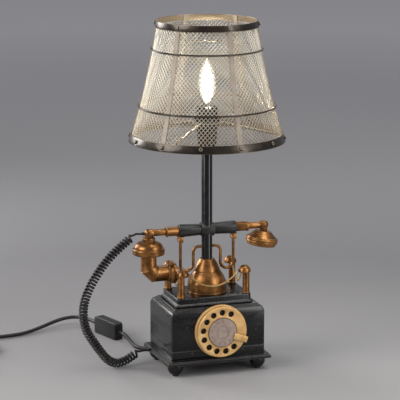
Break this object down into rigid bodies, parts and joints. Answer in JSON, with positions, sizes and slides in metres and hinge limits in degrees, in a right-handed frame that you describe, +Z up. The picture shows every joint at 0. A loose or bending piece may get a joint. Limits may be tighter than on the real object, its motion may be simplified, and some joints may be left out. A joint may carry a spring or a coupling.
{
  "type": "telephone table lamp",
  "caption": "Table lamp shaped as an old desk telephone: black box base with a rotary dial, gold bell and handset on a pole, tapered wire-mesh shade, inline switch on the lead.",
  "frame": {"origin": "on the table under the pole, midway between the four feet", "axes": "+X right along the front of the box, +Y to the back, +Z up the pole; the dial is on the -Y face"},
  "size_m": [0.4705, 0.3767, 0.5],
  "materials": {
    "felt": "black felt and webbing",
    "black_resin": "satin black cast resin, rubbed grey on the edges",
    "black_grip": "satin black",
    "black_pole": "satin black paint",
    "steel": "plain",
    "antique_gold": "antique gold paint, darkened in the hollows",
    "rope_gold": "twisted gold cord",
    "dial_gold": "pale gold paint",
    "plate_black": "matt black",
    "disc_grey": "matt grey with faint figures",
    "holder_black": "black moulding",
    "bulb_glass": "pearl",
    "filament": "wire and glass stem",
    "mesh_cream": "silvery cream paint",
    "bronze": "dark antique bronze",
    "upright_beige": "matt beige",
    "cord_black": "dark brown-black sheath",
    "switch_black": "black moulding",
    "pin_steel": "nickel plated"
  },
  "bodies": {
    "lamp": {"foot_pads": "felt", "ball_feet": "black_resin", "foot_screws": "steel", "plinth": "black_resin", "lower_tray": "black_resin", "upper_case": "black_resin", "top_tier": "black_resin", "pole": "black_pole", "pole_nut": "steel", "bell_drum": "antique_gold", "bell_skirt": "antique_gold", "bell_dome": "antique_gold", "posts": "antique_gold", "post_caps": "antique_gold", "rope_swags": "rope_gold", "cradle_wires": "antique_gold", "cradle_lugs": "antique_gold", "handset_sleeve": "black_grip", "handset_grips": "black_grip", "ferrules": "antique_gold", "handset_tubes": "antique_gold", "knuckles": "antique_gold", "mouth_cap": "antique_gold", "horn_elbow": "antique_gold", "horn_ring": "antique_gold", "ear_cap": "antique_gold", "ear_plate": "plate_black", "dial_housing": "dial_gold", "number_plate": "plate_black", "return_spring": "steel", "finger_stop": "dial_gold", "holder_cap": "holder_black", "holder_sleeve": "holder_black", "shade_ring": "holder_black", "bulb_screw": "steel", "bulb_glass": "bulb_glass", "bulb_filament": "filament", "inner_lead": "cord_black", "lead_gland": "cord_black", "curly_bushes": "cord_black", "curly_cord": "cord_black", "lead_to_switch": "cord_black", "switch_base": "switch_black", "switch_cover": "switch_black", "lead_to_coil": "cord_black", "cord_coil": "cord_black", "cord_tie": "felt", "plug_body": "switch_black", "plug_pins": "pin_steel"},
    "shade": {"shade_mesh": "mesh_cream", "shade_bands": "bronze", "shade_hoops": "bronze", "shade_uprights": "upright_beige", "shade_rivets": "bronze", "shade_spider": "mesh_cream"},
    "dial": {"finger_wheel": "dial_gold", "centre_disc": "disc_grey", "dial_spindle": "steel", "spindle_clip": "steel"},
    "rocker": {"switch_rocker": "switch_black"}
  },
  "joints": [
    {"name": "shade_turn", "type": "hinge", "parent": "lamp", "child": "shade", "pos_m": [0, 0, 0.354], "axis": [0, 0, 1], "continuous": true},
    {"name": "dial_turn", "type": "hinge", "parent": "lamp", "child": "dial", "pos_m": [0.002, -0.051, 0.063], "axis": [0, 1, 0], "range_deg": [0, 328], "stiffness_Nm_per_rad": 0.01, "springref_deg": -28.65},
    {"name": "rocker", "type": "hinge", "parent": "lamp", "child": "rocker", "pos_m": [-0.09097, 0.18519, 0.013], "axis": [0, 0, 1], "range_deg": [0, 24]}
  ]
}
